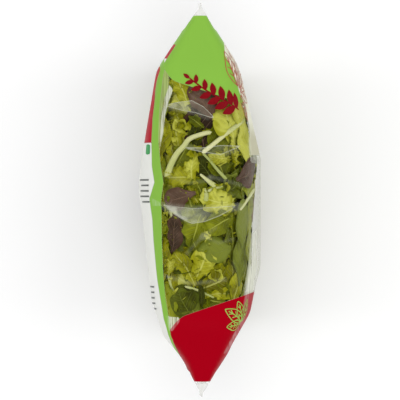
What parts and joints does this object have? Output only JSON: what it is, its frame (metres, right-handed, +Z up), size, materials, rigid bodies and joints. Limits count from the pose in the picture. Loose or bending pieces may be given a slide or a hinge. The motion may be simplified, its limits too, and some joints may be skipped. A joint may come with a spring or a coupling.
{
  "type": "bag of salad leaves",
  "caption": "Sealed clear pillow bag full of mixed salad leaves, lying on a narrow side, with welded end seals and printed end fields.",
  "frame": {"origin": "middle of the bag on the flat that it lies on", "axes": "+Y along the bag towards its top seal, +X towards the front panel, +Z up out of the upper narrow side"},
  "size_m": [0.093, 0.3, 0.181],
  "materials": {
    "printed_film": "clear glossy film with green, red and white printed fields",
    "leaves": "fresh salad leaves, soft satin, green and purple"
  },
  "bodies": {
    "root": {"salad_bag": "printed_film"}
  },
  "joints": []
}
